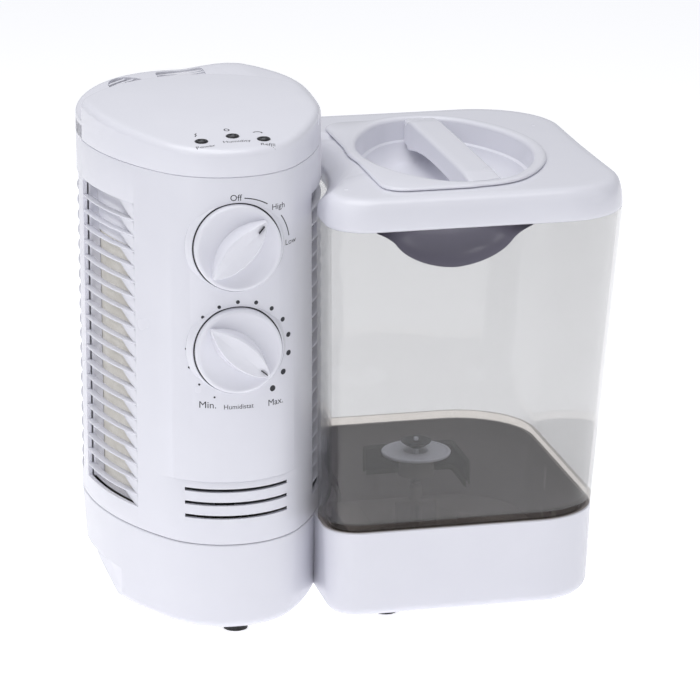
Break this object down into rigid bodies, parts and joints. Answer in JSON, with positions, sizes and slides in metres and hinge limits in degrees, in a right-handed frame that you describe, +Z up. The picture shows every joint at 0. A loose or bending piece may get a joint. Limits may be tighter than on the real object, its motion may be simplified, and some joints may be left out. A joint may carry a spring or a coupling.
{
  "type": "cool mist humidifier",
  "caption": "Evaporative humidifier: an oval fan tower with side louvres and two dials beside a clear lift-off water tank, both on one white base.",
  "frame": {"origin": "centre of the overall footprint, on the surface the rubber feet stand on", "axes": "+X along the width from the tower to the tank, +Y from the front with the dials to the back, +Z up"},
  "size_m": [0.3247, 0.239, 0.318],
  "materials": {
    "white_abs": "moulded, semi-gloss",
    "inner_abs": "moulded, plain",
    "clear_tank": "clear styrene",
    "smoked_tank": "smoked clear styrene",
    "rubber": "moulded",
    "steel": "zinc plated",
    "wick_paper": "pleated honeycomb",
    "dust_pad": "pressed fibre",
    "dark_plastic": "moulded",
    "lens": "clear cap",
    "board": "solder mask",
    "float_foam": "foamed"
  },
  "bodies": {
    "base": {"base_tray": "white_abs", "rubber_feet": "rubber"},
    "float": {"float": "float_foam", "float_magnet": "steel"},
    "wick": {"wick_filter": "wick_paper", "wick_frame": "inner_abs"},
    "housing": {"housing_shell": "white_abs", "louvre_left": "white_abs", "louvre_right": "white_abs", "pad_left": "dust_pad", "pad_right": "dust_pad", "top_cover": "white_abs", "outlet_grille": "white_abs", "light_bezels": "dark_plastic", "light_lenses": "lens", "status_board": "board", "splash_guard": "inner_abs", "fan_deck": "inner_abs", "fan_shroud": "dark_plastic", "motor_bracket": "dark_plastic", "fan_motor": "steel", "motor_screws": "steel", "deck_screws": "steel", "cover_screws": "steel", "speed_switch": "dark_plastic", "humidistat": "dark_plastic", "control_board": "board", "float_sensor": "dark_plastic", "cord_grommet": "rubber"},
    "fan": {"motor_shaft": "steel", "fan_wheel": "dark_plastic"},
    "speed_dial": {"speed_knob": "white_abs", "speed_shaft": "steel"},
    "humidity_dial": {"humidistat_knob": "white_abs", "humidistat_shaft": "steel"},
    "tank": {"tank_shell": "clear_tank", "tank_bottom": "smoked_tank", "tank_lid": "white_abs", "finger_scoop": "smoked_tank", "valve_seat": "white_abs", "valve_spring": "steel"},
    "valve": {"valve_pin": "white_abs", "valve_seal": "rubber"},
    "cap": {"cap_plate": "white_abs", "cap_bowl": "white_abs", "cap_handle": "white_abs", "cap_seal": "rubber"}
  },
  "joints": [
    {"name": "housing_lift", "type": "slide", "parent": "base", "child": "housing", "axis": [0, 0, 1], "range_m": [0, 0.24]},
    {"name": "wick_lift", "type": "slide", "parent": "base", "child": "wick", "axis": [0, 0, 1], "range_m": [0, 0.06]},
    {"name": "float_rise", "type": "slide", "parent": "base", "child": "float", "axis": [0, 0, 1], "range_m": [0, 0.012]},
    {"name": "fan_spin", "type": "hinge", "parent": "housing", "child": "fan", "pos_m": [-0.087, 0.03, 0.25], "axis": [0, 0, 1], "continuous": true},
    {"name": "speed_turn", "type": "hinge", "parent": "housing", "child": "speed_dial", "pos_m": [-0.087, -0.106, 0.247], "axis": [0, 1, 0], "range_deg": [-44, 39]},
    {"name": "humidity_turn", "type": "hinge", "parent": "housing", "child": "humidity_dial", "pos_m": [-0.087, -0.106, 0.183], "axis": [0, 1, 0], "range_deg": [-281, 11]},
    {"name": "tank_lift", "type": "slide", "parent": "base", "child": "tank", "axis": [0, 0, 1], "range_m": [0, 0.12]},
    {"name": "valve_travel", "type": "slide", "parent": "tank", "child": "valve", "axis": [0, 0, 1], "range_m": [-0.0034, 0]},
    {"name": "cap_lift", "type": "slide", "parent": "tank", "child": "cap", "axis": [0, 0, 1], "range_m": [0, 0.06]}
  ],
  "couplings": [
    {"joint": "wick_lift", "follows": "housing_lift", "ratio": 0.25},
    {"joint": "valve_travel", "follows": "tank_lift", "ratio": -0.028}
  ]
}
